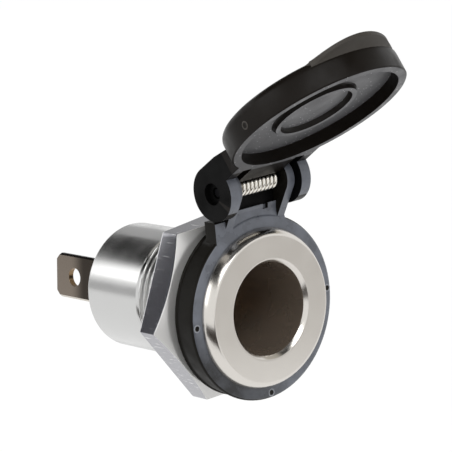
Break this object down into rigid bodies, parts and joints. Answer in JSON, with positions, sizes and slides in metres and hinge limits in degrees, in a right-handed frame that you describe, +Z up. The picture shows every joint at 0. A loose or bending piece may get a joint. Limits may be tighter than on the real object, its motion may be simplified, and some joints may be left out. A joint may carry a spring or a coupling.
{
  "type": "12 volt panel power socket with spring lid",
  "caption": "Panel power socket: a flanged, threaded metal barrel with a round plug bore, thin hexagon nut, black hinge collar and sprung round lid shown open.",
  "frame": {"origin": "centre of the collar's rear face, where the panel bears, on the axis of the bore", "axes": "-Y out of the bore towards the user, +Z up to the lid's hinge, +X to the viewer's right"},
  "size_m": [0.0264, 0.0642, 0.049],
  "materials": {
    "nickel_body": "satin nickel plate",
    "nickel_nut": "bright nickel plate",
    "black_collar": "moulded semi-gloss",
    "black_lid": "moulded matte",
    "pin_steel": "plain",
    "spring_steel": "nickel plate",
    "holder_phenolic": "moulded",
    "rear_phenolic": "moulded",
    "contact_brass": "turned",
    "terminal_plate": "nickel plate"
  },
  "bodies": {
    "socket": {"socket_body": "nickel_body", "hinge_collar": "black_collar", "hinge_pin": "pin_steel", "lid_spring": "spring_steel", "contact_holder": "holder_phenolic", "rear_insulator": "rear_phenolic", "center_contact": "contact_brass", "contact_clip_ring": "spring_steel", "center_rivet": "contact_brass", "rivet_washer": "pin_steel", "positive_terminal": "terminal_plate", "negative_terminal": "terminal_plate"},
    "lid": {"lid": "black_lid"},
    "nut": {"hex_nut": "nickel_nut"}
  },
  "joints": [
    {"name": "lid_hinge", "type": "hinge", "parent": "socket", "child": "lid", "pos_m": [0, -0.00365, 0.0165], "axis": [1, 0, 0], "range_deg": [0, 124], "stiffness_Nm_per_rad": 0.0025, "springref_deg": 146.68, "deforming": ["lid_spring"]},
    {"name": "nut_travel", "type": "slide", "parent": "socket", "child": "nut", "axis": [0, 1, 0], "range_m": [-0.0019, 0.0057]}
  ]
}
